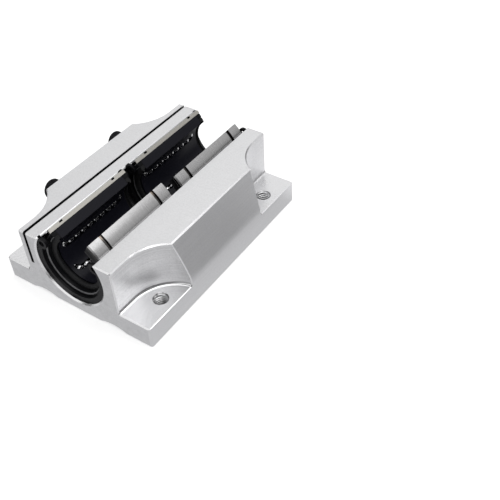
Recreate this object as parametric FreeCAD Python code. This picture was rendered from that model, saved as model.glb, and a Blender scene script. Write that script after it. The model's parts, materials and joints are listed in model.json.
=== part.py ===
import FreeCAD, Part
import math
import os

# Open linear bearing block for a 20 mm supported shaft, in millimetres.
# X runs across the block, Y along the shaft, Z up. The origin is the middle
# of the mounting face, which lies on Z = 0. The shaft slot opens upwards.

V = FreeCAD.Vector

# ---------------------------------------------------------------- dimensions
# housing
BLOCK_W = 72.0            # flange width, X
BLOCK_L = 98.0            # length, Y
FLANGE_T = 10.0           # height of the bolt spot faces
EAR_H = 30.4              # height of the ear tops
EAR_TOP_RIGHT = 30.4      # outer edges of the ear tops at mid length
EAR_TOP_LEFT = 31.2
SIDE_Z = 13.0             # height where the sloped wall meets the base side
SIDE_R = 14.0             # rounding between sloped wall and base side
SCALLOP_R = 17.7          # corner scallops, milled in from the ends
SCALLOP_Y = 40.8          # where the straight run of a scallop ends in its arc
SCALLOP_X = {"right": 39.5, "left": -40.9}   # the slit side keeps more wall
SCALLOP_FOOT_R = 1.2      # fillet at the scallop's foot
EDGE_BEVEL = 0.5          # broken top edges
EAR_INNER_X = 14.0        # half width between the ears at their tops
END_BEVEL = 0.5           # broken edges of the end faces
FOOT_BEVEL = 0.6          # broken edges along the mounting face
RELIEF_X = 17.5           # shallow relief grooves in the mounting face
RELIEF_W = 12.0
RELIEF_D = 1.3

# bolt holes, M6 tapped
BOLT_DX = 59.8
BOLT_DY = 69.6
BOLT_R = 2.5
BOLT_SINK_R = 3.15

# bearing bore
BORE_Z = 21.0
BORE_R = 16.02
MOUTH_CHAMFER = 0.6
RING_GROOVE_R = 16.85
RING_GROOVE_W = 1.3

# clamping slit and the thin leaf it leaves beside the bore
SLIT_X = -19.8
SLIT_W = 1.3
SLIT_Z = 15.4

# adjusting screws, M5 socket cap
SCREW_Y = {"front": -19.9, "rear": 18.5}
SCREW_Z = 24.6
SCREW_R = 2.45
SCREW_HOLE_R = 2.5
HEAD_R = 4.25
HEAD_X0 = -35.95          # outer face of the head
HEAD_X1 = -31.05          # underside of the head
SPOT_X = -31.0
SPOT_R = 4.75
SCREW_TIP_X = -19.2
HEX_AF = 4.0
HEX_DEPTH = 2.6

# open ball bearings, two in line
BRG_L = 42.0
BRG_Y = 24.0              # distance of each bearing's middle from the block's middle
BRG_R = 15.98
OPEN_HALF = 38.5          # half of the opening angle
TURN = {"front": 4.5, "rear": -0.5}   # how far each bearing sits turned in the bore
SLEEVE_RI = 14.4
LAND_R = 13.26            # hardened lands over the loaded ball rows
LAND_HALF = 6.3
LAND_L = 27.8
GROOVE_R = 15.25
GROOVE_W = 1.6
GROOVE_SPAN = 30.5        # over the outer edges of the two grooves
SLEEVE_CHAMFER = 0.5

RET_RI = 10.4
RET_RO = 14.3
RET_L = 37.2
RET_EXTRA = 0.5           # the cage's cut stands this much behind the sleeve's, in degrees

BALL_R = 1.5875
CHAN_R = 1.65
LOAD_R = 11.65            # pitch radius of the loaded rows
BACK_R = 12.75            # pitch radius of the return rows
ROWS = {"upper": 86.0, "lower": 147.0}   # loaded rows, from the middle of the opening
ROW_STEP = 23.0           # return row, this much nearer the opening
ROW_HALF = 13.8           # half length of the straight rows
BALLS = 20                # in each circuit

ENDRING_RI = 12.4
ENDRING_RO = 14.35
FLANGE_RO = 15.75         # flange of the outer end rings, between sleeve and snap ring
SEAL_RO = 12.35
SEAL_LIP_R = 10.05

# snap rings
RING_T = 1.2
RING_RO = 16.75
RING_RI = 13.7
RING_OUTER_Y = 47.35      # middle of the two outer rings
RING_HALF = 63.8          # lug holes, from the middle of the opening
RING_TURN = {"front_outer": -0.3, "front_inner": -6.0, "rear_inner": -6.0, "rear_outer": 2.6}   # how far each ring sits turned
LUG_R = 2.4
LUG_PITCH_R = 14.2
LUG_HOLE_R = 1.25


# ------------------------------------------------------------------- helpers
def polar(r, deg, y=0.0):
    a = math.radians(deg)
    return V(r * math.cos(a), y, BORE_Z + r * math.sin(a))


def prism(points, y0, y1):
    """Closed (x, z) outline, carried along Y."""
    pts = [V(x, y0, z) for x, z in points]
    wire = Part.makePolygon(pts + [pts[0]])
    return Part.Face(wire).extrude(V(0, y1 - y0, 0))


def turned(profile, start, span):
    """(r, y) outline turned about the bore axis from the angle start."""
    pts = [V(r, y, 0) for r, y in profile]
    face = Part.Face(Part.makePolygon(pts + [pts[0]]))
    face.rotate(V(0, 0, 0), V(0, -1, 0), start)
    solid = face.revolve(V(0, 0, 0), V(0, -1, 0), span)
    solid.translate(V(0, 0, BORE_Z))
    return solid


def ring(r0, r1, y0, y1, start, span):
    return turned([(r0, y0), (r1, y0), (r1, y1), (r0, y1)], start, span)


def radial_slot(deg, r0, r1, half, y0, y1):
    a = math.radians(deg)
    er = (math.cos(a), math.sin(a))
    et = (-math.sin(a), math.cos(a))
    pts = []
    for r, t in ((r0, -half), (r1, -half), (r1, half), (r0, half)):
        pts.append((er[0] * r + et[0] * t, BORE_Z + er[1] * r + et[1] * t))
    return prism(pts, y0, y1)


def rod_y(r, p, length):
    return Part.makeCylinder(r, length, p, V(0, 1, 0))


def save(shape, name):
    solids = shape.Solids
    out = solids[0] if len(solids) == 1 else Part.makeCompound(solids)
    out.exportStep("parts/%s.step" % name)
    print(name, len(solids), "solid(s)", round(out.Volume, 2), out.isValid())


# ------------------------------------------------------------------- housing
def half_outline(top_x):
    """Points of one side of the bar's section, from the base's middle up to the ear top."""
    y = -BLOCK_L / 2
    hw = BLOCK_W / 2
    # sloped wall: line from the ear's edge to the base side, rounded where they meet
    top = V(top_x, y, EAR_H)
    knee = V(hw, y, SIDE_Z)
    d = (top - knee)
    d.normalize()
    turn = math.acos(max(-1.0, min(1.0, d.dot(V(0, 0, 1)))))
    cut = SIDE_R * math.tan(turn / 2)
    mid = V(hw - SIDE_R + SIDE_R * math.cos(turn / 2), y, SIDE_Z - cut + SIDE_R * math.sin(turn / 2))
    return {
        # relief groove in the base, a shallow arc
        "g0": V(RELIEF_X - RELIEF_W / 2, y, 0), "g1": V(RELIEF_X, y, RELIEF_D), "g2": V(RELIEF_X + RELIEF_W / 2, y, 0),
        "b0": V(hw - FOOT_BEVEL, y, 0), "b1": V(hw, y, FOOT_BEVEL),
        "a": knee - V(0, 0, cut), "mid": mid, "b": knee + d * cut,
        # broken edge between ear top and sloped wall
        "e1": top - d * EDGE_BEVEL, "e2": top - V(EDGE_BEVEL, 0, 0),
    }


def block_profile():
    """Outer section of the extruded bar, as a face at the front end."""
    r = half_outline(EAR_TOP_RIGHT)
    q = {k: V(-p.x, p.y, p.z) for k, p in half_outline(EAR_TOP_LEFT).items()}
    edges = [
        Part.LineSegment(q["g0"], r["g0"]), Part.Arc(r["g0"], r["g1"], r["g2"]), Part.LineSegment(r["g2"], r["b0"]),
        Part.LineSegment(r["b0"], r["b1"]), Part.LineSegment(r["b1"], r["a"]), Part.Arc(r["a"], r["mid"], r["b"]),
        Part.LineSegment(r["b"], r["e1"]), Part.LineSegment(r["e1"], r["e2"]), Part.LineSegment(r["e2"], q["e2"]),
        Part.LineSegment(q["e2"], q["e1"]), Part.LineSegment(q["e1"], q["b"]), Part.Arc(q["b"], q["mid"], q["a"]),
        Part.LineSegment(q["a"], q["b1"]), Part.LineSegment(q["b1"], q["b0"]), Part.LineSegment(q["b0"], q["g2"]),
        Part.Arc(q["g2"], q["g1"], q["g0"]),
    ]
    return Part.Face(Part.Wire([e.toShape() for e in edges]))


def scallop_tools(x, sy):
    """Path of a bull-nosed cutter with a flared top that breaks the ear's edge: its far end, then the run out to the end face."""
    r = SCALLOP_R
    f = SCALLOP_FOOT_R
    z0 = FLANGE_T
    zt = EAR_H - EDGE_BEVEL
    s = math.sqrt(0.5)
    right = [V(r - f, 0, z0), V(r - f + f * s, 0, z0 + f - f * s), V(r, 0, z0 + f), V(r, 0, zt), V(r + 3.0, 0, zt + 3.0)]
    left = [V(-p.x, 0, p.z) for p in right]

    def outline(p, q0, q1):
        edges = [Part.LineSegment(q0, p[0]), Part.Arc(p[0], p[1], p[2]), Part.LineSegment(p[2], p[3]), Part.LineSegment(p[3], p[4]), Part.LineSegment(p[4], q1)]
        return edges

    half = outline(right, V(0, 0, z0), V(0, 0, zt + 3.0)) + [Part.LineSegment(V(0, 0, zt + 3.0), V(0, 0, z0))]
    end = Part.Face(Part.Wire([e.toShape() for e in half])).revolve(V(0, 0, 0), V(0, 0, 1), 360)
    whole = outline(right, left[0], left[4])
    back = [Part.LineSegment(left[4], left[3]), Part.LineSegment(left[3], left[2]), Part.Arc(left[2], left[1], left[0])]
    run = Part.Face(Part.Wire([e.toShape() for e in whole + back])).extrude(V(0, sy * BLOCK_L / 2, 0))
    for t in (end, run):
        t.translate(V(x, sy * SCALLOP_Y, 0))
    return [end, run]


def housing():
    hl = BLOCK_L / 2
    body = block_profile().extrude(V(0, BLOCK_L, 0))
    for x in SCALLOP_X.values():
        for sy in (-1, 1):
            for t in scallop_tools(x, sy):
                body = body.cut(t)
    body = body.removeSplitter().Solids[0]

    # broken edges round both end faces
    picked = []
    for e in body.Edges:
        box = e.BoundBox
        if abs(abs(box.YMin) - hl) < 1e-4 and abs(abs(box.YMax) - hl) < 1e-4 and abs(box.YMin - box.YMax) < 1e-4:
            picked.append(e)
    body = body.makeChamfer(END_BEVEL, picked)

    # bore, its mouth chamfers and the grooves that hold the snap rings
    tools = [rod_y(BORE_R, V(0, -hl - 1, BORE_Z), BLOCK_L + 2)]
    c = MOUTH_CHAMFER
    for s in (-1, 1):
        tools.append(turned([(BORE_R - 2, s * (hl - c - 2)), (BORE_R - 2, s * (hl + 1)), (BORE_R + c + 1, s * (hl + 1))], 0, 360))
    for y in RING_GROOVES:
        tools.append(rod_y(RING_GROOVE_R, V(0, y - RING_GROOVE_W / 2, BORE_Z), RING_GROOVE_W))
    # bevel along the ears' inner top edges
    for s in (-1, 1):
        k = EAR_INNER_X
        tools.append(prism([(s * k, EAR_H), (s * (k + 0.5), EAR_H + 0.5), (s * 8.0, EAR_H + 0.5), (s * 8.0, EAR_H - (k - 8.0))], -hl - 1, hl + 1))
    # clamping slit
    tools.append(prism([(SLIT_X - SLIT_W / 2, SLIT_Z), (SLIT_X + SLIT_W / 2, SLIT_Z), (SLIT_X + SLIT_W / 2, EAR_H + 1), (SLIT_X - SLIT_W / 2, EAR_H + 1)], -hl - 1, hl + 1))
    # bolt holes with a small countersink
    for sx in (-1, 1):
        for sy in (-1, 1):
            x, y = sx * BOLT_DX / 2, sy * BOLT_DY / 2
            tools.append(Part.makeCylinder(BOLT_R, FLANGE_T + 2, V(x, y, -1), V(0, 0, 1)))
            h = BOLT_SINK_R - BOLT_R
            tools.append(Part.makeCone(BOLT_R, BOLT_SINK_R + 0.5, h + 0.5, V(x, y, FLANGE_T - h), V(0, 0, 1)))
    # adjusting screw holes and their spot faces
    for y in SCREW_Y.values():
        tools.append(Part.makeCylinder(SCREW_HOLE_R, SLIT_X + 36, V(-36, y, SCREW_Z), V(1, 0, 0)))
        tools.append(Part.makeCylinder(SPOT_R, 8, V(SPOT_X - 8, y, SCREW_Z), V(1, 0, 0)))
    for t in tools:
        body = body.cut(t)
    return body.removeSplitter()


# ------------------------------------------------------------------ bearings
def ball_rows(mid):
    """Side, level, and the angles of the loaded and the return row of each circuit."""
    rows = []
    for side in (1, -1):
        for level in ("upper", "lower"):
            rows.append(("left" if side > 0 else "right", level, mid + side * ROWS[level], mid + side * (ROWS[level] - ROW_STEP)))
    return rows


def track(ld, bk):
    """Centres of the two straight rows, the point between them, the way across and half the distance."""
    p1 = polar(LOAD_R, ld)
    p2 = polar(BACK_R, bk)
    u = p2 - p1
    rho = u.Length / 2
    u.normalize()
    return p1, p2, (p1 + p2) * 0.5, u, rho


def ball_cage():
    """Moulded cage with a closed track for each circuit, opening upwards, its middle at Y = 0."""
    start = 90.0 + OPEN_HALF + RET_EXTRA
    span = 360.0 - 2 * (OPEN_HALF + RET_EXTRA)
    cage = ring(RET_RI, RET_RO, -RET_L / 2, RET_L / 2, start, span)
    for _, _, ld, bk in ball_rows(90.0):
        p1, p2, m, u, rho = track(ld, bk)
        n = u.cross(V(0, 1, 0))
        tools = [
            ring(LAND_R - 0.13, RET_RO + 1, -LAND_L / 2 - 0.3, LAND_L / 2 + 0.3, ld - LAND_HALF - 0.9, 2 * (LAND_HALF + 0.9)),
            rod_y(CHAN_R, p1 + V(0, -ROW_HALF, 0), 2 * ROW_HALF),
            rod_y(CHAN_R, p2 + V(0, -ROW_HALF, 0), 2 * ROW_HALF),
            radial_slot(bk, BACK_R, RET_RO + 1, CHAN_R - 0.01, -ROW_HALF, ROW_HALF),
        ]
        for s in (-1, 1):
            disc = Part.Face(Part.Wire(Part.makeCircle(CHAN_R, p1 + V(0, s * ROW_HALF, 0), V(0, 1, 0))))
            axis = n * (-1.0 if s > 0 else 1.0)
            tools.append(disc.revolve(m + V(0, s * ROW_HALF, 0), axis, 180))
        for t in tools:
            cage = cage.cut(t)
    return cage


def bearing(where, y0, turn):
    mid = 90.0 + turn
    start = mid + OPEN_HALF
    span = 360.0 - 2 * OPEN_HALF
    hl = BRG_L / 2
    out = {}

    # hardened sleeve: ground outside, two grooves, lands over the loaded rows
    g0 = GROOVE_SPAN / 2
    g1 = g0 - GROOVE_W
    c = SLEEVE_CHAMFER
    prof = [(SLEEVE_RI, -hl), (BRG_R - c, -hl), (BRG_R, -hl + c),
            (BRG_R, -g0), (GROOVE_R, -g0), (GROOVE_R, -g1), (BRG_R, -g1),
            (BRG_R, g1), (GROOVE_R, g1), (GROOVE_R, g0), (BRG_R, g0),
            (BRG_R, hl - c), (BRG_R - c, hl), (SLEEVE_RI, hl)]
    sleeve = turned([(r, y + y0) for r, y in prof], start, span)
    rows = ball_rows(mid)
    lands = [ring(LAND_R, SLEEVE_RI + 0.4, y0 - LAND_L / 2, y0 + LAND_L / 2, ld - LAND_HALF, 2 * LAND_HALF) for _, _, ld, _ in rows]
    sleeve = sleeve.fuse(lands).removeSplitter()
    out["sleeve_" + where] = sleeve

    # ball cage, then the balls of each circuit, spaced evenly round its track
    ex = RET_EXTRA
    cage = ball_cage()
    cage.rotate(V(0, 0, BORE_Z), V(0, -1, 0), turn)
    cage.translate(V(0, y0, 0))
    out["cage_" + where] = cage
    for side, level, ld, bk in rows:
        p1, p2, m, u, rho = track(ld, bk)
        loop = 4 * ROW_HALF + 2 * math.pi * rho
        balls = []
        for i in range(BALLS):
            q = (i + 0.5) * loop / BALLS
            if q < 2 * ROW_HALF:
                c0 = p1 + V(0, y0 - ROW_HALF + q, 0)
            elif q < 2 * ROW_HALF + math.pi * rho:
                a = (q - 2 * ROW_HALF) / rho
                c0 = m + V(0, y0 + ROW_HALF, 0) + u * (-rho * math.cos(a)) + V(0, rho * math.sin(a), 0)
            elif q < 4 * ROW_HALF + math.pi * rho:
                c0 = p2 + V(0, y0 + ROW_HALF - (q - 2 * ROW_HALF - math.pi * rho), 0)
            else:
                a = (q - 4 * ROW_HALF - math.pi * rho) / rho
                c0 = m + V(0, y0 - ROW_HALF, 0) + u * (rho * math.cos(a)) + V(0, -rho * math.sin(a), 0)
            balls.append(Part.makeSphere(BALL_R, c0))
        out["balls_%s_%s_%s" % (where, level, side)] = Part.makeCompound(balls)

    # end rings and lip seals
    a0 = RET_L / 2 + 0.1
    for s, tag in ((-1, "outer" if where == "front" else "inner"), (1, "inner" if where == "front" else "outer")):
        prof = [(ENDRING_RI, a0), (ENDRING_RO, a0), (ENDRING_RO, hl - 0.4), (ENDRING_RO - 0.3, hl - 0.1), (ENDRING_RI + 0.3, hl - 0.1), (ENDRING_RI, hl - 0.4)]
        end_ring = turned([(r, y0 + s * y) for r, y in prof], start + ex, span - 2 * ex)
        if tag == "outer":
            # flange that fills the space up to the snap ring, clear of the ring's lugs
            y1, y2 = hl + 0.05, RING_OUTER_Y - BRG_Y - RING_T / 2 - 0.05
            a0f = 90.0 + RING_TURN[where + "_outer"] + RING_HALF
            spigot = ring(ENDRING_RI, ENDRING_RO, y0 + s * (hl - 0.6), y0 + s * y1, a0f, 360.0 - 2 * RING_HALF)
            prof = [(ENDRING_RI, y1), (FLANGE_RO - 0.3, y1), (FLANGE_RO, y1 + 0.3), (FLANGE_RO, y2), (ENDRING_RI + 0.4, y2), (ENDRING_RI, y2 - 0.4)]
            flange = turned([(r, y0 + s * y) for r, y in prof], a0f, 360.0 - 2 * RING_HALF)
            end_ring = end_ring.fuse([spigot, flange]).removeSplitter()
        out["end_ring_%s_%s" % (where, tag)] = end_ring
        prof = [(10.95, a0 + 0.05), (SEAL_RO, a0 + 0.05), (SEAL_RO, hl - 0.45), (11.6, hl - 0.3), (10.75, hl - 0.35),
                (SEAL_LIP_R, hl - 0.75), (SEAL_LIP_R, hl - 1.2), (10.75, hl - 1.35)]
        out["seal_%s_%s" % (where, tag)] = turned([(r, y0 + s * y) for r, y in prof], start + ex, span - 2 * ex)
    return out


# ---------------------------------------------------------------- snap rings
def snap_ring(y, turn):
    mid = 90.0 + turn
    a0 = mid + RING_HALF - 4.5
    body = ring(RING_RI, RING_RO, y - RING_T / 2, y + RING_T / 2, a0, 360.0 - 2 * (RING_HALF - 4.5))
    for s in (-1, 1):
        p = polar(LUG_PITCH_R, mid + s * RING_HALF, y - RING_T / 2)
        body = body.fuse(rod_y(LUG_R, p, RING_T))
    for s in (-1, 1):
        p = polar(LUG_PITCH_R, mid + s * RING_HALF, y - RING_T / 2 - 1)
        body = body.cut(rod_y(LUG_HOLE_R, p, RING_T + 2))
    return body.removeSplitter()


# ----------------------------------------------------------- adjusting screws
def screw(y):
    """Socket cap screw along X, its tip against the leaf beside the bore."""
    f = 0.4
    prof = [(HEAD_X0, 0), (HEAD_X0, HEAD_R - f), (HEAD_X0 + f, HEAD_R), (HEAD_X1, HEAD_R), (HEAD_X1, SCREW_R),
            (SCREW_TIP_X - 0.7, SCREW_R), (SCREW_TIP_X, SCREW_R - 0.7), (SCREW_TIP_X, 0)]
    pts = [V(x, r, 0) for x, r in prof]
    s = Part.Face(Part.makePolygon(pts + [pts[0]])).revolve(V(0, 0, 0), V(1, 0, 0), 360)
    k = HEX_AF / math.sqrt(3)
    hexa = [V(HEAD_X0 - 1, k * math.cos(math.radians(60 * i)), k * math.sin(math.radians(60 * i))) for i in range(6)]
    s = s.cut(Part.Face(Part.makePolygon(hexa + [hexa[0]])).extrude(V(HEX_DEPTH + 1, 0, 0)))
    s.translate(V(0, y, SCREW_Z))
    return s


BRG_GAP = BRG_Y - BRG_L / 2
RING_OFF = 0.1 + RING_T / 2
RING_GROOVES = [-RING_OUTER_Y, -(BRG_GAP - RING_OFF), BRG_GAP - RING_OFF, RING_OUTER_Y]

os.makedirs("parts", exist_ok=True)
save(housing(), "housing_block")
for where, sign in (("front", -1), ("rear", 1)):
    for name, shape in bearing(where, sign * BRG_Y, TURN[where]).items():
        save(shape, name)
for (which, turn), y in zip(RING_TURN.items(), RING_GROOVES):
    save(snap_ring(y, turn), "snap_ring_" + which)
for where, y in SCREW_Y.items():
    save(screw(y), "adjusting_screw_" + where)
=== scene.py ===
import json
import math

import bmesh
import bpy
from mathutils import Matrix, Vector


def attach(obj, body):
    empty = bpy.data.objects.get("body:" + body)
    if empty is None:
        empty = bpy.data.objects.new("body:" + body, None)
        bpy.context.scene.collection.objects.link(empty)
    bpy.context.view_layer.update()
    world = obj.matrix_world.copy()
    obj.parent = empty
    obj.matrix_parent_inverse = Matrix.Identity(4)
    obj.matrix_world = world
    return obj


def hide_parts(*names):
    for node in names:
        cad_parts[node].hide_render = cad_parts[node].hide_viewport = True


# Looks of an open linear bearing block, in metres, in the frame of its solids:
# X across the block, Y along the shaft, Z up, origin in the middle of the mounting face.

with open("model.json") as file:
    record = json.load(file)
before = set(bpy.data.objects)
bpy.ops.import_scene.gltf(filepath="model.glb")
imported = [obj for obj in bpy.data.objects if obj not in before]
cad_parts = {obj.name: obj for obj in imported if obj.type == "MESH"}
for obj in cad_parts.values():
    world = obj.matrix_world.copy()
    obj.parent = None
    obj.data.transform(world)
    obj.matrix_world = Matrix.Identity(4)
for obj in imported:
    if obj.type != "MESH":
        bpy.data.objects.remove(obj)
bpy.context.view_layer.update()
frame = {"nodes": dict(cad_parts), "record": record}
nodes = frame["nodes"]
scene = bpy.context.scene
MM = 0.001

BORE_Z = 21.0
BOLTS = [(sx * 29.9, sy * 34.8) for sx in (-1, 1) for sy in (-1, 1)]


# ------------------------------------------------------------ material helper
class Look:
    """A Principled material with short calls for the nodes that feed it."""

    def __init__(self, name, color, metallic, roughness, specular=0.5):
        self.mat = bpy.data.materials.new(name)
        self.mat.use_nodes = True
        self.nt = self.mat.node_tree
        self.nt.nodes.clear()
        out = self.nt.nodes.new("ShaderNodeOutputMaterial")
        self.bsdf = self.nt.nodes.new("ShaderNodeBsdfPrincipled")
        self.nt.links.new(self.bsdf.outputs["BSDF"], out.inputs["Surface"])
        self.bsdf.inputs["Base Color"].default_value = (*color, 1.0)
        self.bsdf.inputs["Metallic"].default_value = metallic
        self.bsdf.inputs["Roughness"].default_value = roughness
        self.bsdf.inputs["Specular IOR Level"].default_value = specular
        self.co = self.nt.nodes.new("ShaderNodeTexCoord").outputs["Object"]
        self.x, self.y, self.z = self.split(self.co)

    def put(self, socket, value):
        if isinstance(value, bpy.types.NodeSocket):
            self.nt.links.new(value, socket)
        else:
            socket.default_value = value

    def split(self, vector):
        n = self.nt.nodes.new("ShaderNodeSeparateXYZ")
        self.put(n.inputs[0], vector)
        return n.outputs[0], n.outputs[1], n.outputs[2]

    def join(self, x, y, z):
        n = self.nt.nodes.new("ShaderNodeCombineXYZ")
        for s, v in zip(n.inputs, (x, y, z)):
            self.put(s, v)
        return n.outputs[0]

    def normal(self):
        return self.split(self.nt.nodes.new("ShaderNodeNewGeometry").outputs["Normal"])

    def m(self, op, a, b=0.0, c=0.0, clamp=False):
        n = self.nt.nodes.new("ShaderNodeMath")
        n.operation = op
        n.use_clamp = clamp
        for s, v in zip(n.inputs, (a, b, c)):
            self.put(s, v)
        return n.outputs[0]

    def mul(self, a, b):
        return self.m("MULTIPLY", a, b)

    def add(self, a, b):
        return self.m("ADD", a, b)

    def step(self, v, lo, hi, a=0.0, b=1.0):
        """Smooth step of v from lo to hi, mapped to a..b."""
        n = self.nt.nodes.new("ShaderNodeMapRange")
        n.interpolation_type = "SMOOTHSTEP"
        for s, val in zip(n.inputs[:5], (v, lo, hi, a, b)):
            self.put(s, val)
        return n.outputs[0]

    def band(self, v, lo, hi, soft):
        return self.mul(self.step(v, lo - soft, lo + soft), self.step(v, hi - soft, hi + soft, 1.0, 0.0))

    def noise(self, scale, detail=2.0, rough=0.5, vector=None, distort=0.0):
        n = self.nt.nodes.new("ShaderNodeTexNoise")
        self.put(n.inputs["Vector"], vector if vector is not None else self.co)
        n.inputs["Scale"].default_value = scale
        n.inputs["Detail"].default_value = detail
        n.inputs["Roughness"].default_value = rough
        n.inputs["Distortion"].default_value = distort
        return n.outputs["Fac"]

    def centred(self, v):
        return self.m("SUBTRACT", v, 0.5)

    def mix(self, fac, a, b):
        n = self.nt.nodes.new("ShaderNodeMix")
        n.data_type = "FLOAT"
        self.put(n.inputs[0], fac)
        self.put(n.inputs[2], a)
        self.put(n.inputs[3], b)
        return n.outputs[0]

    def mixc(self, fac, a, b):
        n = self.nt.nodes.new("ShaderNodeMix")
        n.data_type = "RGBA"
        self.put(n.inputs[0], fac)
        self.put(n.inputs[6], (*a, 1.0) if isinstance(a, tuple) else a)
        self.put(n.inputs[7], (*b, 1.0) if isinstance(b, tuple) else b)
        return n.outputs[2]

    def shade(self, color, v):
        """Colour times a value."""
        n = self.nt.nodes.new("ShaderNodeVectorMath")
        n.operation = "SCALE"
        self.put(n.inputs[0], color)
        self.put(n.inputs["Scale"], v)
        return n.outputs[0]

    def bump(self, height, strength=1.0):
        """Height in metres, so that the distance stays one metre."""
        n = self.nt.nodes.new("ShaderNodeBump")
        n.inputs["Strength"].default_value = strength
        n.inputs["Distance"].default_value = 1.0
        self.put(n.inputs["Height"], height)
        self.put(self.bsdf.inputs["Normal"], n.outputs[0])

    def radius(self, cx, cz, a=None, b=None):
        a = a if a is not None else self.x
        b = b if b is not None else self.z
        dx = self.m("SUBTRACT", a, cx)
        dz = self.m("SUBTRACT", b, cz)
        return self.m("SQRT", self.add(self.mul(dx, dx), self.mul(dz, dz)))

    def set(self, name, value):
        self.put(self.bsdf.inputs[name], value)


# ------------------------------------------------------------------- finishes
def aluminium():
    k = Look("blasted_aluminium", (0.80, 0.80, 0.81), 1.0, 0.4)
    nx, ny, nz = k.normal()
    wide, deep = k.m("ABSOLUTE", k.x), k.m("ABSOLUTE", k.y)
    facing = k.m("ABSOLUTE", ny)
    up = k.step(nz, 0.90, 0.97)
    side = k.step(k.m("ABSOLUTE", nz), 0.30, 0.45, 1.0, 0.0)
    top = k.mul(up, k.step(k.z, 0.0296, 0.0300))
    spot = k.mul(up, k.band(k.z, 0.0093, 0.0106, 0.0003))
    end = k.step(facing, 0.97, 0.995)
    # milled scallop walls, clear of the end faces, and the round foot below them
    corner = k.mul(k.step(deep, 0.0228, 0.0240), k.step(wide, 0.0195, 0.0210))
    scallop = k.mul(k.mul(side, corner), k.mul(k.band(k.z, 0.0108, 0.0300, 0.0004), k.step(facing, 0.985, 0.998, 1.0, 0.0)))
    foot = k.mul(k.mul(corner, k.band(k.z, 0.0096, 0.0114, 0.0003)), k.step(k.y, -0.005, 0.005, 1.0, 0.0))
    # bored wall
    bore_r = k.radius(0.0, BORE_Z * MM)
    bore = k.step(bore_r, 0.01665, 0.01680, 1.0, 0.0)
    # thread of the bolt holes
    hole_r = k.radius(0.0299, 0.0348, wide, deep)
    thread = k.mul(k.step(hole_r, 0.00306, 0.00312, 1.0, 0.0), k.step(k.z, 0.0099, 0.0100, 1.0, 0.0))
    # blasted grain
    grain = k.noise(5200.0, 3.0, 0.6)
    cloud = k.noise(160.0, 3.0, 0.55)
    milled = k.m("MAXIMUM", k.m("MAXIMUM", k.mul(scallop, -0.15), k.mul(spot, 0.6)), k.m("MAXIMUM", foot, bore))
    height = k.mul(k.mul(k.centred(grain), 14e-6), k.step(milled, 0.0, 1.0, 1.0, 0.3))
    # cross strokes of the cutter on the ear tops
    warp = k.mul(k.centred(k.noise(90.0, 2.0)), 0.0006)
    strokes = k.noise(1.0, 2.0, 0.6, k.join(k.mul(k.x, 60.0), k.mul(k.add(k.y, warp), 2300.0), 0.0))
    height = k.add(height, k.mul(k.mul(k.centred(strokes), 4e-6), top))
    # rings round the scallop walls, one above another
    rings = k.noise(1.0, 2.0, 0.6, k.join(k.mul(k.x, 40.0), k.mul(k.y, 40.0), k.mul(k.z, 1700.0)))
    height = k.add(height, k.mul(k.mul(k.centred(rings), 20e-6), scallop))
    # turned marks on the spot faces, about the cutter's axis
    ax = k.m("SUBTRACT", wide, 0.0402)
    ay = k.m("SUBTRACT", deep, 0.0408)
    rr = k.m("SQRT", k.add(k.mul(ax, ax), k.mul(ay, ay)))
    swirl = k.noise(1.0, 2.0, 0.6, k.join(k.mul(rr, 2600.0), k.mul(ax, 30.0), k.mul(ay, 30.0)))
    height = k.add(height, k.mul(k.mul(k.centred(swirl), 5e-6), spot))
    # saw and mill marks across the end faces
    sawn = k.noise(1.0, 2.0, 0.6, k.join(k.mul(k.x, 1900.0), 0.0, k.mul(k.z, 50.0)))
    height = k.add(height, k.mul(k.mul(k.centred(sawn), 4e-6), end))
    k.bump(height)
    rough = k.add(0.38, k.mul(k.centred(cloud), 0.10))
    rough = k.add(rough, k.mul(k.centred(grain), 0.08))
    rough = k.add(rough, k.mul(milled, -0.15))
    rough = k.add(rough, k.mul(thread, -0.10))
    rough = k.add(rough, k.mul(scallop, 0.06))
    k.set("Roughness", rough)
    mottle = k.noise(1900.0, 3.0, 0.65)
    tone = k.add(1.0, k.add(k.mul(k.centred(cloud), 0.05), k.mul(k.centred(mottle), 0.24)))
    tone = k.add(tone, k.mul(k.mul(k.add(k.centred(strokes), k.centred(mottle)), 0.08), top))
    # cutter marks, fainter on the corners at the back
    marked = k.step(k.y, -0.010, 0.010, 1.0, 0.4)
    tone = k.add(tone, k.mul(k.mul(k.add(k.centred(rings), k.mul(k.centred(mottle), 0.7)), 0.36), k.mul(scallop, marked)))
    tone = k.add(tone, k.mul(k.mul(k.add(k.centred(swirl), k.mul(k.centred(mottle), 0.7)), 0.22), k.mul(spot, marked)))
    # drawn lines along the long sides
    drawn = k.noise(1.0, 2.0, 0.6, k.join(0.0, k.mul(k.y, 22.0), k.mul(k.z, 1500.0)))
    flank = k.mul(k.step(k.m("ABSOLUTE", nx), 0.90, 0.96), k.step(wide, 0.0300, 0.0310))
    tone = k.add(tone, k.mul(k.mul(k.centred(drawn), 0.12), flank))
    dragged = k.noise(1.0, 2.0, 0.6, k.join(k.mul(k.x, 260.0), 0.0, k.mul(k.z, 1300.0)))
    worn = k.add(k.mul(k.centred(k.noise(420.0, 3.0, 0.6)), 0.30), k.add(k.mul(k.centred(sawn), 0.07), k.mul(k.centred(dragged), 0.20)))
    tone = k.add(tone, k.mul(worn, end))
    tone = k.mul(tone, k.mix(end, 1.0, 0.89))
    # painted shade: the roots of the threads darker, and the bolt holes' thread walls darker towards their bottoms
    root = k.mul(k.step(hole_r, 0.00256, 0.00292), k.step(k.z, 0.0099, 0.0100, 1.0, 0.0))
    tone = k.mul(tone, k.mix(k.mul(thread, root), 1.0, 0.40))
    tone = k.mul(tone, k.mix(thread, 1.0, k.step(k.z, 0.0040, 0.0092, 0.30, 1.0)))
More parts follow.
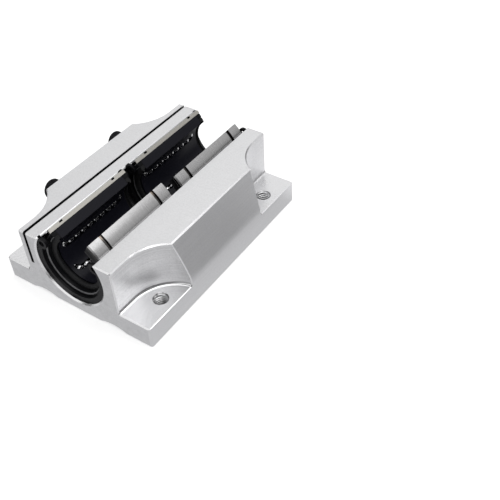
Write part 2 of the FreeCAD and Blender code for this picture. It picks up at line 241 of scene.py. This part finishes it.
    # painted shade: a dark line along the top of the scallop foot's fillet, on the front corners only
    foot_line_shade = k.mul(corner, k.band(k.z, 0.01086, 0.01130, 0.00010))
    foot_line_shade = k.mul(foot_line_shade, k.step(k.y, -0.005, 0.005, 1.0, 0.0))
    tone = k.mul(tone, k.mix(k.mul(foot_line_shade, k.step(facing, 0.985, 0.998, 1.0, 0.0)), 1.0, 0.45))
    # painted highlight along the top edge of the bevel on the bore's open side, and painted shade on the bevel below it
    lip = k.mul(k.mul(k.band(wide, 0.0131, 0.0141, 0.00005), k.band(nz, 0.5, 0.9, 0.04)), k.step(k.z, 0.02960, 0.02970))
    tone = k.mul(tone, k.mix(lip, 1.0, k.step(k.z, 0.03008, 0.03022, 0.50, 1.12)))
    # painted shade inside the sawn slit
    slit_shade = k.mul(k.band(k.x, -0.02053, -0.01907, 0.00004), k.mul(k.step(k.z, 0.0300, 0.0303, 1.0, 0.0), k.step(k.z, 0.0152, 0.0153)))
    tone = k.mul(tone, k.mix(slit_shade, 1.0, 0.12))
    k.set("Base Color", k.shade((0.80, 0.80, 0.81), tone))
    return k.mat


def burnished_edge():
    """Deburred edges of the housing, rubbed brighter than its faces."""
    k = Look("burnished_edges", (0.93, 0.93, 0.94), 1.0, 0.25)
    fine = k.noise(3000.0, 3.0, 0.6)
    nick = k.noise(420.0, 3.0, 0.6)
    k.bump(k.mul(k.centred(nick), 3e-6))
    k.set("Roughness", k.add(0.25, k.add(k.mul(k.centred(fine), 0.10), k.mul(k.centred(nick), 0.14))))
    k.set("Base Color", k.shade((0.93, 0.93, 0.94), k.add(0.98, k.add(k.mul(k.centred(nick), 0.18), k.mul(k.centred(fine), 0.10)))))
    return k.mat


def sleeve_steel():
    k = Look("ground_steel", (0.415, 0.412, 0.415), 1.0, 0.3)
    nx, ny, nz = k.normal()
    r = k.radius(0.0, BORE_Z * MM)
    radial = k.m("DIVIDE", k.add(k.mul(nx, k.x), k.mul(nz, k.m("SUBTRACT", k.z, BORE_Z * MM))), r)
    facing = k.m("ABSOLUTE", ny)
    groove = k.mul(k.band(r, 0.01500, 0.01548, 0.00008), k.step(k.m("ABSOLUTE", radial), 0.80, 0.95))
    wall = k.step(facing, 0.80, 0.95)
    # cut faces of the open side
    cut = k.mul(k.step(k.m("ABSOLUTE", radial), 0.35, 0.55, 1.0, 0.0), k.step(facing, 0.35, 0.55, 1.0, 0.0))
    marks = k.noise(1.0, 3.0, 0.65, k.join(k.mul(k.x, 70.0), k.mul(k.y, 5200.0), k.mul(k.z, 70.0)))
    bands = k.noise(1.0, 2.0, 0.5, k.join(k.mul(k.x, 20.0), k.mul(k.y, 600.0), k.mul(k.z, 20.0)))
    cloud = k.noise(260.0, 3.0)
    k.bump(k.mul(k.centred(marks), 5e-6))
    rough = k.add(0.25, k.add(k.mul(k.centred(marks), 0.14), k.mul(k.centred(cloud), 0.08)))
    rough = k.mix(groove, rough, 0.20)
    rough = k.mix(cut, rough, 0.48)
    k.set("Roughness", rough)
    tone = k.add(1.0, k.add(k.mul(k.centred(marks), 0.14), k.mul(k.centred(bands), 0.14)))
    col = k.shade((0.415, 0.412, 0.415), tone)
    col = k.mixc(cut, col, (0.56, 0.543, 0.502))
    # painted shade: groove floors dark, tan where their normal points sideways, near black where they face up or down
    col = k.mixc(groove, col, k.mixc(k.step(k.m("ABSOLUTE", nx), 0.58, 0.68), (0.26, 0.22, 0.185), (0.075, 0.072, 0.070)))
    # painted shade: faces that look along the shaft, the sleeve ends and the groove walls, near black
    col = k.mixc(wall, col, (0.03, 0.028, 0.026))
    k.set("Base Color", col)
    return k.mat


def cage_resin():
    k = Look("black_resin", (0.0085, 0.0085, 0.0135), 0.0, 0.36, 0.16)
    fine = k.noise(3800.0, 2.0)
    cloud = k.noise(220.0, 3.0)
    k.bump(k.mul(k.centred(fine), 5e-6))
    k.set("Roughness", k.add(0.37, k.add(k.mul(k.centred(cloud), 0.14), k.mul(k.centred(fine), 0.06))))
    k.set("Base Color", k.shade((0.0085, 0.0085, 0.0135), k.add(1.0, k.mul(k.centred(cloud), 0.5))))
    return k.mat


def ball_steel():
    k = Look("polished_balls", (0.64, 0.64, 0.65), 1.0, 0.17)
    cloud = k.noise(900.0, 2.0)
    k.set("Roughness", k.add(0.17, k.mul(k.centred(cloud), 0.05)))
    k.set("Base Color", k.shade((0.64, 0.64, 0.65), k.add(1.0, k.mul(k.centred(cloud), 0.06))))
    return k.mat


def black_metal(name, color, rough, turned):
    """Blackened steel; turned parts carry fine rings about the bore."""
    k = Look(name, color, 0.0, rough, 0.085)
    fine = k.noise(4200.0, 3.0, 0.6)
    cloud = k.noise(300.0, 3.0)
    height = k.mul(k.centred(fine), 4e-6)
    if turned:
        r = k.radius(0.0, BORE_Z * MM)
        ring = k.noise(1.0, 2.0, 0.6, k.join(k.mul(r, 3400.0), k.mul(k.y, 900.0), 0.0))
        height = k.add(height, k.mul(k.centred(ring), 14e-6))
    k.bump(height)
    k.set("Roughness", k.add(rough, k.add(k.mul(k.centred(cloud), 0.14), k.mul(k.centred(fine), 0.08))))
    col = k.shade(color, k.add(1.0, k.add(k.mul(k.centred(cloud), 0.5), k.mul(k.centred(fine), 0.3))))
    if turned:
        # the broken edges are painted lighter grey, as wear and as painted highlight along the ring edges
        nx, ny, nz = k.normal()
        edge_wear_and_sheen = k.mul(k.band(k.m("ABSOLUTE", ny), 0.35, 0.92, 0.04), k.step(cloud, 0.30, 0.60, 0.55, 1.0))
        col = k.mixc(edge_wear_and_sheen, col, (0.13, 0.13, 0.135))
    k.set("Base Color", col)
    return k.mat


def seal_rubber():
    k = Look("lip_rubber", (0.012, 0.012, 0.013), 0.0, 0.52, 0.18)
    fine = k.noise(2600.0, 3.0, 0.6)
    cloud = k.noise(240.0, 2.0)
    k.bump(k.mul(k.centred(fine), 7e-6))
    k.set("Roughness", k.add(0.52, k.mul(k.centred(cloud), 0.16)))
    k.set("Base Color", k.shade((0.012, 0.012, 0.013), k.add(1.0, k.mul(k.centred(fine), 0.5))))
    return k.mat


LOOKS = {
    "housing_aluminium": aluminium(),
    "sleeve_steel": sleeve_steel(),
    "cage_resin": cage_resin(),
    "ball_steel": ball_steel(),
    "end_ring_black": black_metal("black_end_rings", (0.007, 0.0072, 0.0082), 0.32, True),
    "seal_rubber": seal_rubber(),
    "snap_ring_black": black_metal("phosphated_rings", (0.008, 0.008, 0.0092), 0.30, True),
    "screw_black": black_metal("black_oxide", (0.010, 0.010, 0.0115), 0.32, False),
}
for part in frame["record"]["subparts"]:
    obj = nodes[part["node"]]
    look = LOOKS[part["material_slot"]]
    if len(obj.data.materials):
        for slot in obj.material_slots:
            slot.material = look
    else:
        obj.data.materials.append(look)


# ------------------------------------------------- housing with cut M6 threads
def thread_depth(phase):
    """0 at the crest of an inside thread, 1 at its root; flanks at 60 degrees with small flats."""
    p = phase % 1.0
    d = abs(p - 0.5) * 2.0
    return min(1.0, max(0.0, (d - 0.14) / (0.86 - 0.14)))


def break_edges(bm):
    """Small bevels where the milled scallops and spot faces run out through the block's long sides."""

    def outer(f):
        return abs(f.normal.y) < 0.03 and abs(f.normal.x) > 0.45 and abs(f.calc_center_median().x) > 29 * MM

    def planar(f):
        c, n = f.calc_center_median(), f.normal
        spot = n.z > 0.98 and abs(c.z - 10 * MM) < 0.05 * MM
        return outer(f) or spot or (abs(c.y) > 48.4 * MM and abs(c.x) > 24 * MM and 0.3 < abs(n.y) < 0.95)

    def pocket(v):
        return v.co.x < 0 and any(math.hypot(v.co.y - y * MM, v.co.z - 24.6 * MM) < 4.9 * MM for y in (-19.9, 18.5))

    def rims():
        found = []
        for e in bm.edges:
            if len(e.link_faces) != 2 or e.calc_face_angle() < math.radians(18) or all(pocket(v) for v in e.verts):
                continue
            if any(abs(v.co.y) > 48.6 * MM or not 9.95 * MM < v.co.z < 29.95 * MM for v in e.verts):
                continue
            if outer(e.link_faces[0]) != outer(e.link_faces[1]):
                found.append(e)
        return found

    # slivers beside a rim are welded to it and flat neighbours joined, so that the bevels come out even
    near = [v for v in bm.verts if 29.85 * MM < v.co.z < 29.95 * MM and 29 * MM < abs(v.co.x) < 32.5 * MM]
    bmesh.ops.remove_doubles(bm, verts=near, dist=0.03 * MM)
    bmesh.ops.remove_doubles(bm, verts=list({v for e in rims() for v in e.verts}), dist=0.16 * MM)
    bm.normal_update()
    ring = {v for e in rims() for v in e.verts}
    weld = {}
    for v in ring:
        for e in v.link_edges:
            w, d = e.other_vert(v), e.calc_length()
            if w in ring or d > 0.48 * MM or any(outer(f) for f in w.link_faces):
                continue
            if w not in weld or d < (w.co - weld[w].co).length:
                weld[w] = v
    bmesh.ops.weld_verts(bm, targetmap=weld)
    bm.normal_update()
    flat = [e for e in bm.edges if len(e.link_faces) == 2 and e.calc_face_angle() < 0.004 and all(planar(f) for f in e.link_faces)]
    bmesh.ops.dissolve_limit(bm, angle_limit=0.005, use_dissolve_boundaries=False, verts=[], edges=flat, delimit=set())
    bm.normal_update()

    made = bmesh.ops.bevel(bm, geom=rims(), offset=0.28 * MM, offset_type="OFFSET", segments=1, profile=0.5, affect="EDGES", clamp_overlap=False)
    burnished = set(made["faces"])
    for v in made["verts"]:
        if abs(v.co.x) > 35.98 * MM and 9.6 * MM < v.co.z < 10.2 * MM:
            v.co.z += 0.10 * MM * min(1.0, (10.2 * MM - v.co.z) / (0.48 * MM))
        v.co.x = max(-36 * MM, min(36 * MM, v.co.x))
    bm.normal_update()
    for f in bm.faces:
        c, n = f.calc_center_median() / MM, f.normal
        top = 29.86 < c.z < 30.40 and 0.35 < n.z < 0.93 and abs(c.x) > 14.3 and n.y < -0.08
        end = 48.3 < abs(c.y) < 48.99 and 0.30 < abs(n.y) < 0.95
        f.material_index = 1 if top or end or f in burnished else 0


def cut_threads(mesh):
    """Swaps the plain walls of the four bolt holes for helical M6 thread walls, joined to the same rims."""
    bm = bmesh.new()
    bm.from_mesh(mesh)
    bmesh.ops.remove_doubles(bm, verts=bm.verts, dist=2e-7)
    break_edges(bm)
    core, major, pitch = 2.5 * MM, 3.02 * MM, 1.0 * MM
    for hx, hy in BOLTS:
        cx, cy = hx * MM, hy * MM

        def on_wall(v):
            return abs(math.hypot(v.co.x - cx, v.co.y - cy) - core) < 0.02 * MM

        wall = [f for f in bm.faces if all(on_wall(v) for v in f.verts) and abs(f.normal.z) < 0.2]
        if not wall:
            continue
        bmesh.ops.delete(bm, geom=wall, context="FACES")
        rim = [e for e in bm.edges if e.is_boundary and all(on_wall(v) for v in e.verts)]
        z0 = min(v.co.z for e in rim for v in e.verts)
        z1 = max(v.co.z for e in rim for v in e.verts)
        low = [e for e in rim if e.verts[0].co.z < (z0 + z1) / 2]
        high = [e for e in rim if e.verts[0].co.z >= (z0 + z1) / 2]
        n, rows = 56, 132
        gap = 0.12 * MM
        grid = []
        for j in range(rows + 1):
            z = z0 + gap + (z1 - z0 - 2 * gap) * j / rows
            fade = min(1.0, (z - z0 - gap) / (0.5 * MM), (z1 - gap - z) / (0.35 * MM))
            ring = []
            for i in range(n):
                a = 2 * math.pi * i / n
                d = thread_depth((z - z0) / pitch - i / n) * max(0.0, fade)
                r = core + (major - core) * d
                ring.append(bm.verts.new((cx + r * math.cos(a), cy + r * math.sin(a), z)))
            grid.append(ring)
        ends = ([], [])
        for j in range(rows):
            for i in range(n):
                k = (i + 1) % n
                f = bm.faces.new((grid[j][i], grid[j + 1][i], grid[j + 1][k], grid[j][k]))
                f.smooth = True
        for i in range(n):
            k = (i + 1) % n
            ends[0].append(bm.edges.get((grid[0][i], grid[0][k])))
            ends[1].append(bm.edges.get((grid[rows][i], grid[rows][k])))
        for edges, loop in ((low, ends[0]), (high, ends[1])):
            made = bmesh.ops.bridge_loops(bm, edges=edges + loop)
            for f in made["faces"]:
                f.smooth = True
    bmesh.ops.recalc_face_normals(bm, faces=bm.faces)
    for f in bm.faces:
        f.smooth = True
    for e in bm.edges:
        if len(e.link_faces) == 2:
            e.smooth = e.calc_face_angle() < math.radians(21)
    out = bpy.data.meshes.new("housing_body")
    bm.to_mesh(out)
    bm.free()
    return out


def round_corners(obj):
    """Rounds the flange's four upright corners, with a small chamfer round their tops."""
    steps, rad = 8, 1.22
    bm = bmesh.new()
    for sx, sy in ((1, 1), (-1, 1), (-1, -1), (1, -1)):
        cols = []
        for i in range(steps + 1):
            a = math.pi / 2 * i / steps
            c, q = math.cos(a), math.sin(a)
            knee = 10.0 - 0.16 - 0.32 * q
            far = 3.0 / max(c, q)
            col = []
            for r, z in ((rad, -1.0), (rad, knee), (rad - (10.4 - knee), 10.4), (far, 10.4), (far, -1.0)):
                col.append(bm.verts.new((sx * (34.8 + r * c) * MM, sy * (47.8 + r * q) * MM, z * MM)))
            cols.append(col)
        for a, b in zip(cols, cols[1:]):
            for i in range(5):
                k = (i + 1) % 5
                bm.faces.new((a[i], a[k], b[k], b[i]))
        bm.faces.new(cols[0])
        bm.faces.new(cols[-1][::-1])
    bmesh.ops.recalc_face_normals(bm, faces=bm.faces)
    tool_mesh = bpy.data.meshes.new("corner_cutter")
    bm.to_mesh(tool_mesh)
    bm.free()
    tool = bpy.data.objects.new("corner_cutter", tool_mesh)
    scene.collection.objects.link(tool)
    cut = obj.modifiers.new("corners", "BOOLEAN")
    cut.operation, cut.solver, cut.object = "DIFFERENCE", "EXACT", tool
    cut.use_self = True
    graph = bpy.context.evaluated_depsgraph_get()
    mesh = bpy.data.meshes.new_from_object(obj.evaluated_get(graph), depsgraph=graph)
    obj.modifiers.clear()
    obj.data = mesh
    bpy.data.objects.remove(tool)
    bpy.data.meshes.remove(tool_mesh)
    bm = bmesh.new()
    bm.from_mesh(mesh)
    bm.normal_update()
    # slivers that a bevel folded over are welded flat
    folded = [e for e in bm.edges if len(e.link_faces) == 2 and e.calc_face_angle() > 2.6]
    loose = {v for e in folded for v in e.verts} | {v for e in folded for f in e.link_faces if f.calc_area() < 2e-8 for v in f.verts}
    bmesh.ops.remove_doubles(bm, verts=list(loose), dist=0.12 * MM)
    bmesh.ops.dissolve_degenerate(bm, dist=1e-7, edges=bm.edges)
    bm.normal_update()
    for f in bm.faces:
        f.smooth = True
        c = f.calc_center_median() / MM
        if abs(c.x) > 34.8 and abs(c.y) > 47.8 and 9.5 < c.z < 10 and 0.3 < f.normal.z < 0.95:
            f.material_index = 1
    for e in bm.edges:
        if len(e.link_faces) == 2:
            e.smooth = e.calc_face_angle() < math.radians(21)
    bm.to_mesh(mesh)
    bm.free()


housing = bpy.data.objects.new("housing_body", cut_threads(nodes["housing_block"].data))
scene.collection.objects.link(housing)
housing.data.materials.append(LOOKS["housing_aluminium"])
housing.data.materials.append(burnished_edge())
round_corners(housing)
weighted = housing.modifiers.new("flat_faces", "WEIGHTED_NORMAL")
weighted.keep_sharp = True
weighted.weight = 100
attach(housing, "block")
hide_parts("housing_block")


# ------------------------------------------------------------ adjusting screws
def cap_screw(name, y):
    """Socket cap screw along X with a knurled head, a hexagon socket and a cut thread, as one closed skin of rings."""
    head0, head1, tip = -35.95, -31.05, -19.2
    zc = 24.6
    n = 144
    angle = [2 * math.pi * i / n for i in range(n)]
    teeth = 36

    def circle(r):
        return [r] * n

    def knurl(r, depth):
        return [r - depth * (0.5 - 0.5 * math.cos(teeth * a)) for a in angle]

    def hexagon(flat):
        out = []
        for a in angle:
            t = (a + math.pi / 6) % (math.pi / 3) - math.pi / 6
            out.append(flat / 2 / math.cos(t))
        return out

    rows = [(head0 + 2.75, circle(0.02)), (head0 + 2.45, hexagon(3.96)), (head0 + 2.40, hexagon(4.0)), (head0 + 0.32, hexagon(4.0)),
            (head0 + 0.02, [max(h, 2.33) for h in hexagon(4.0)]), (head0, circle(2.45)), (head0, circle(3.62)), (head0 + 0.05, circle(3.80)),
            (head0 + 0.16, circle(3.95)), (head0 + 0.42, circle(4.10)), (head0 + 0.62, knurl(4.25, 0.10)), (head0 + 0.80, knurl(4.25, 0.20)),
            (head1 - 0.75, knurl(4.25, 0.20)), (head1 - 0.62, knurl(4.23, 0.10)), (head1 - 0.55, circle(4.10)), (head1 - 0.12, circle(4.10)),
            (head1, circle(3.98)), (head1, circle(2.75)), (head1 + 0.06, circle(2.44))]
    pitch, major, minor = 0.8, 2.44, 2.02
    x = head1 + 0.5
    rows.append((x - 0.2, circle(2.44)))
    while x < tip - 0.75:
        fade = min(1.0, (x - head1 - 0.5) / 0.6, max(0.0, (tip - 0.75 - x) / 0.4))
        rows.append((x, [major - (major - minor) * fade * thread_depth(x / pitch - i / n) for i in range(n)]))
        x += pitch / 10
    rows += [(tip - 0.70, circle(2.40)), (tip - 0.12, circle(1.86)), (tip, circle(1.70)), (tip, circle(0.02))]
    verts = []
    for px, radii in rows:
        for a, r in zip(angle, radii):
            verts.append((px * MM, (y + r * math.cos(a)) * MM, (zc + r * math.sin(a)) * MM))
    faces = []
    for j in range(len(rows) - 1):
        for i in range(n):
            k = (i + 1) % n
            faces.append((j * n + i, (j + 1) * n + i, (j + 1) * n + k, j * n + k))
    faces.append(tuple(range(n)))
    faces.append(tuple(reversed(range((len(rows) - 1) * n, len(rows) * n))))
    mesh = bpy.data.meshes.new(name)
    mesh.from_pydata(verts, [], faces)
    mesh.validate()
    bm = bmesh.new()
    bm.from_mesh(mesh)
    bmesh.ops.recalc_face_normals(bm, faces=bm.faces)
    for f in bm.faces:
        f.smooth = True
    for e in bm.edges:
        if len(e.link_faces) == 2:
            e.smooth = e.calc_face_angle() < math.radians(38)
    bm.to_mesh(mesh)
    bm.free()
    mesh.materials.append(LOOKS["screw_black"])
    obj = bpy.data.objects.new(name, mesh)
    scene.collection.objects.link(obj)
    return obj


for where, y in (("front", -19.9), ("rear", 18.5)):
    screw = cap_screw("cap_screw_" + where, y)
    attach(screw, where + "_screw")
    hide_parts("adjusting_screw_" + where)


# ------------------------------------------------------- floor, light, camera
def plane(name, size, z):
    mesh = bpy.data.meshes.new(name)
    s = size / 2
    mesh.from_pydata([(-s, -s, z), (s, -s, z), (s, s, z), (-s, s, z)], [], [(0, 1, 2, 3)])
    obj = bpy.data.objects.new(name, mesh)
    scene.collection.objects.link(obj)
    return obj


# White sweep that the camera sees, and the greyer paper that the object's gloss sees.
floor = plane("floor", 6.0, -0.00002)
paper = Look("white_paper", (0.90, 0.90, 0.90), 0.0, 0.9, 0.0)
paper.set("Emission Color", (1.0, 1.0, 1.0, 1.0))
paper.set("Emission Strength", 0.42)
floor.data.materials.append(paper.mat)
floor.visible_glossy = False
ground = plane("floor_in_gloss", 6.0, -0.00004)
grey = Look("grey_paper", (0.80, 0.80, 0.81), 0.0, 0.9, 0.0)
# painted shade: a darker patch of the gloss-only floor to the right of the block, seen only in reflections
shade_x = grey.step(grey.x, 0.042, 0.060)
shade = grey.mul(shade_x, grey.mul(grey.step(grey.x, 0.14, 0.30, 1.0, 0.0), grey.mul(grey.step(grey.y, -0.05, 0.01), grey.step(grey.y, 0.08, 0.14, 1.0, 0.0))))
# painted light: a brighter, glowing patch of the gloss-only floor behind the block's right rear corner
painted_light_patch = grey.mul(grey.band(grey.x, 0.015, 0.075, 0.010), grey.band(grey.y, 0.053, 0.120, 0.008))
dim = grey.add(grey.mix(shade, 1.0, 0.55), grey.mul(painted_light_patch, 0.6))
grey.set("Base Color", grey.shade((0.80, 0.80, 0.81), dim))
grey.set("Emission Color", grey.shade((1.0, 1.0, 1.01), dim))
grey.set("Emission Strength", 0.23)
ground.data.materials.append(grey.mat)
ground.visible_camera = ground.visible_diffuse = ground.visible_shadow = ground.visible_transmission = False


def softbox(name, at, to, size, radiance, color=(1.0, 1.0, 1.0)):
    data = bpy.data.lights.new(name, "AREA")
    data.shape = "RECTANGLE"
    data.size, data.size_y = size
    data.energy = radiance * size[0] * size[1] * math.pi
    data.color = color
    obj = bpy.data.objects.new(name, data)
    scene.collection.objects.link(obj)
    obj.location = at
    obj.rotation_euler = (Vector(to) - Vector(at)).to_track_quat("-Z", "Y").to_euler()
    return obj


softbox("top_box", (0.425, 0.10, 1.1), (0.425, 0.10, 0), (1.45, 1.3), 1.75)
softbox("back_box", (-0.70, 0.89, 0.90), (0, 0, 0.02), (1.5, 1.2), 0.82)
softbox("right_box", (0.78, 0.80, 0.86), (0, 0, 0.02), (1.4, 0.9), 0.68)
softbox("front_box", (-0.26, -1.13, 0.59), (0, 0, 0.02), (1.7, 0.8), 0.85)
softbox("camera_fill", (0.62, -0.75, 0.95), (0, 0, 0.02), (0.8, 0.45), 1.10)

world = bpy.data.worlds.new("room")
world.use_nodes = True
world.node_tree.nodes["Background"].inputs["Color"].default_value = (1.0, 1.0, 1.0, 1.0)
world.node_tree.nodes["Background"].inputs["Strength"].default_value = 0.09
scene.world = world

scene.view_settings.view_transform = "Standard"
scene.view_settings.look = "None"
scene.view_settings.exposure = 0.0
scene.view_settings.gamma = 1.0

cam_data = bpy.data.cameras.new("camera")
cam_data.sensor_width = 36.0
cam_data.lens = 753.1244 / 500.0 * 36.0
cam_data.clip_start = 0.01
cam_data.clip_end = 20.0
camera = bpy.data.objects.new("camera", cam_data)
scene.collection.objects.link(camera)
right = Vector((0.833025, 0.551871, -0.038833))
upward = Vector((-0.356697, 0.589419, 0.724812))
forward = Vector((-0.422892, 0.589935, -0.687851))
basis = Matrix((right, upward, -forward)).transposed()
camera.matrix_world = Matrix.Translation(Vector((167.8313, -169.4214, 211.9746)) * MM) @ basis.to_4x4()
scene.camera = camera
